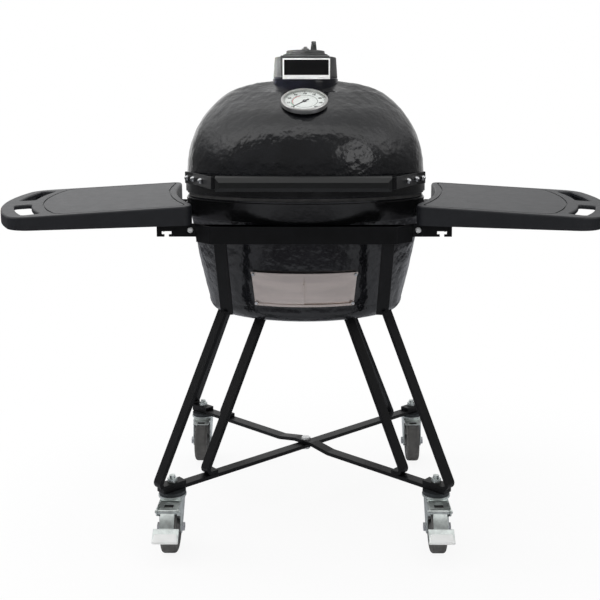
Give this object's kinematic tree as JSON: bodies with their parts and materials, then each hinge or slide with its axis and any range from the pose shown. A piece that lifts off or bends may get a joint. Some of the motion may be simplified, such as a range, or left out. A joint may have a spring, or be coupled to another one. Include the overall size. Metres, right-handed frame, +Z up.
{
  "type": "kamado ceramic grill",
  "caption": "Oval black ceramic kamado grill with a hinged domed lid, chimney damper, draft door, dial thermometer, steel stand on casters and fixed side shelves.",
  "frame": {"origin": "on the floor under the middle of the bounding box", "axes": "+Z up, the front with the handle and draft door faces -Y, +X to the right seen from the front"},
  "size_m": [1.3128, 0.6147, 1.0303],
  "materials": {
    "glaze": "glossy black glaze with soft dimples",
    "fire_clay": "unglazed buff fire clay",
    "cast_iron": "rough sand-cast iron",
    "cap_iron": "grey coated sand-cast iron",
    "grid_steel": "drawn steel bars",
    "felt": "pressed grey felt",
    "black_steel": "satin black powder coat",
    "plain_steel": "plain bright steel",
    "grip": "dark grey-green grained composite",
    "bright_steel": "polished bright steel",
    "dial_face": "white printed dial",
    "needle": "flat black",
    "glass": "clear flat glass",
    "plate_black": "black with a paler worn border",
    "stainless": "warm brushed stainless sheet",
    "shelf_plastic": "charcoal fine-grained moulding",
    "zinc": "zinc plated pressed steel",
    "wheel_rubber": "dark grey rubber on a moulded core",
    "pedal_white": "white pad on a pressed lever"
  },
  "bodies": {
    "stand": {"base_shell": "glaze", "firebox": "fire_clay", "fire_grate": "cast_iron", "cooking_grate": "grid_steel", "base_gasket": "felt", "base_band": "black_steel", "hinge_base_bracket": "black_steel", "hinge_pin": "plain_steel", "draft_frame": "stainless", "draft_screws": "bright_steel", "cradle_front": "black_steel", "cradle_rear": "black_steel", "left_shelf_rail": "black_steel", "right_shelf_rail": "black_steel", "left_shelf": "shelf_plastic", "right_shelf": "shelf_plastic", "front_left_leg": "black_steel", "front_right_leg": "black_steel", "rear_left_leg": "black_steel", "rear_right_leg": "black_steel", "front_left_strut": "black_steel", "front_right_strut": "black_steel", "rear_left_strut": "black_steel", "rear_right_strut": "black_steel", "brace_bar_a": "black_steel", "brace_bar_b": "black_steel", "frame_bolts": "plain_steel", "caster_stems": "zinc"},
    "lid": {"lid_shell": "glaze", "lid_gasket": "felt", "lid_band": "black_steel", "hinge_lid_bracket": "black_steel", "handle_straps": "black_steel", "handle_grip": "grip", "handle_nuts": "bright_steel", "thermometer_bezel": "bright_steel", "thermometer_dial": "dial_face", "thermometer_glass": "glass", "thermometer_stem": "plain_steel", "vent_cap": "cap_iron", "cap_plate": "plate_black", "vent_bolt": "plain_steel"},
    "damper": {"vent_disc": "cast_iron"},
    "needle": {"thermometer_needle": "needle"},
    "draft": {"draft_door": "stainless"},
    "front_left_swivel": {"front_left_fork": "zinc", "front_left_axle": "plain_steel"},
    "front_left_roller": {"front_left_wheel": "wheel_rubber"},
    "front_right_swivel": {"front_right_fork": "zinc", "front_right_axle": "plain_steel"},
    "front_right_roller": {"front_right_wheel": "wheel_rubber"},
    "rear_left_swivel": {"rear_left_fork": "zinc", "rear_left_axle": "plain_steel"},
    "rear_left_roller": {"rear_left_wheel": "wheel_rubber"},
    "rear_right_swivel": {"rear_right_fork": "zinc", "rear_right_axle": "plain_steel"},
    "rear_right_roller": {"rear_right_wheel": "wheel_rubber"},
    "front_left_brake": {"front_left_pedal": "pedal_white"},
    "front_right_brake": {"front_right_pedal": "pedal_white"}
  },
  "joints": [
    {"name": "lid_hinge", "type": "hinge", "parent": "stand", "child": "lid", "pos_m": [0, 0.28787, 0.71], "axis": [-1, 0, 0], "range_deg": [0, 75]},
    {"name": "damper_turn", "type": "hinge", "parent": "lid", "child": "damper", "pos_m": [0, 0.03387, 1.005], "axis": [0, 0, 1], "range_deg": [0, 60]},
    {"name": "needle_turn", "type": "hinge", "parent": "lid", "child": "needle", "pos_m": [0, -0.09542, 0.89832], "axis": [0, 0.4848, -0.8746], "range_deg": [0, 270]},
    {"name": "draft_slide", "type": "hinge", "parent": "stand", "child": "draft", "pos_m": [0, 0.09947, 0.514], "axis": [0, 0, 1], "range_deg": [0, 24.5]},
    {"name": "front_left_swivel_turn", "type": "hinge", "parent": "stand", "child": "front_left_swivel", "pos_m": [-0.266, -0.20613, 0.106], "axis": [0, 0, 1], "continuous": true},
    {"name": "front_left_wheel_spin", "type": "hinge", "parent": "front_left_swivel", "child": "front_left_roller", "pos_m": [-0.266, -0.22813, 0.05], "axis": [1, 0, 0], "continuous": true},
    {"name": "front_right_swivel_turn", "type": "hinge", "parent": "stand", "child": "front_right_swivel", "pos_m": [0.266, -0.20613, 0.106], "axis": [0, 0, 1], "continuous": true},
    {"name": "front_right_wheel_spin", "type": "hinge", "parent": "front_right_swivel", "child": "front_right_roller", "pos_m": [0.266, -0.22813, 0.05], "axis": [1, 0, 0], "continuous": true},
    {"name": "rear_left_swivel_turn", "type": "hinge", "parent": "stand", "child": "rear_left_swivel", "pos_m": [-0.266, 0.27387, 0.106], "axis": [0, 0, 1], "continuous": true},
    {"name": "rear_left_wheel_spin", "type": "hinge", "parent": "rear_left_swivel", "child": "rear_left_roller", "pos_m": [-0.266, 0.25187, 0.05], "axis": [1, 0, 0], "continuous": true},
    {"name": "rear_right_swivel_turn", "type": "hinge", "parent": "stand", "child": "rear_right_swivel", "pos_m": [0.266, 0.27387, 0.106], "axis": [0, 0, 1], "continuous": true},
    {"name": "rear_right_wheel_spin", "type": "hinge", "parent": "rear_right_swivel", "child": "rear_right_roller", "pos_m": [0.266, 0.25187, 0.05], "axis": [1, 0, 0], "continuous": true},
    {"name": "front_left_brake_press", "type": "hinge", "parent": "front_left_swivel", "child": "front_left_brake", "pos_m": [-0.266, -0.26507, 0.09728], "axis": [1, 0, 0], "range_deg": [0, 8]},
    {"name": "front_right_brake_press", "type": "hinge", "parent": "front_right_swivel", "child": "front_right_brake", "pos_m": [0.266, -0.26507, 0.09728], "axis": [1, 0, 0], "range_deg": [0, 8]}
  ]
}
